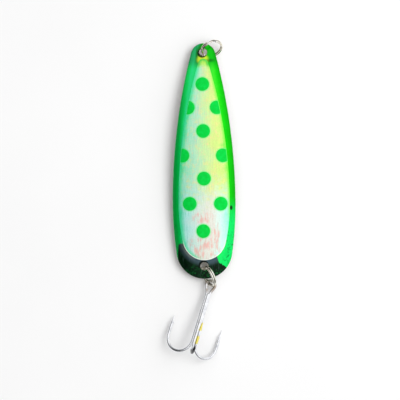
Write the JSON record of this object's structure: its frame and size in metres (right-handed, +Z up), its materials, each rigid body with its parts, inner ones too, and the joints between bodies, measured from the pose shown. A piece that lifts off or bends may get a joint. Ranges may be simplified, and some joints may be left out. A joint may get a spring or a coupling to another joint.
{
  "type": "spoon lure",
  "caption": "Dished metal trolling spoon with a green spotted pearl face, split rings and a treble hook on the tail ring.",
  "frame": {"origin": "centre of the bounding box's base, on the surface that the lure lies on with its painted face up", "axes": "+Y from the tail towards the nose of the blade, +Z up out of the painted face, +X across the blade"},
  "size_m": [0.0284, 0.1294, 0.0204],
  "materials": {
    "lacquered_nickel": "clear green lacquer over nickel-plated brass",
    "pearl_tape": "pearl film, glossy",
    "green_paint": "glossy paint",
    "ring_wire": "nickel plated",
    "hook_wire": "bright nickel plated steel",
    "braze": "plated braze filler"
  },
  "bodies": {
    "blade": {"blade": "lacquered_nickel", "pearl_tape": "pearl_tape", "painted_dots": "green_paint"},
    "nose_ring": {"nose_split_ring": "ring_wire"},
    "tail_ring": {"tail_split_ring": "ring_wire"},
    "treble": {"treble_double_hook": "hook_wire", "treble_third_hook": "hook_wire", "treble_braze": "braze"}
  },
  "joints": [
    {"name": "nose_ring_swing", "type": "hinge", "parent": "blade", "child": "nose_ring", "pos_m": [0.00149, 0.05978, 0.00448], "axis": [0, 0.198, 0.9802], "range_deg": [-35, 185]},
    {"name": "tail_ring_swing", "type": "hinge", "parent": "blade", "child": "tail_ring", "pos_m": [0.00149, -0.02645, 0.00506], "axis": [0, -0.2133, 0.977], "range_deg": [-45, 18]},
    {"name": "treble_swing", "type": "hinge", "parent": "tail_ring", "child": "treble", "pos_m": [0.00394, -0.03438, 0.00278], "axis": [0.1309, 0.1833, 0.9743], "range_deg": [-70, 100]}
  ]
}
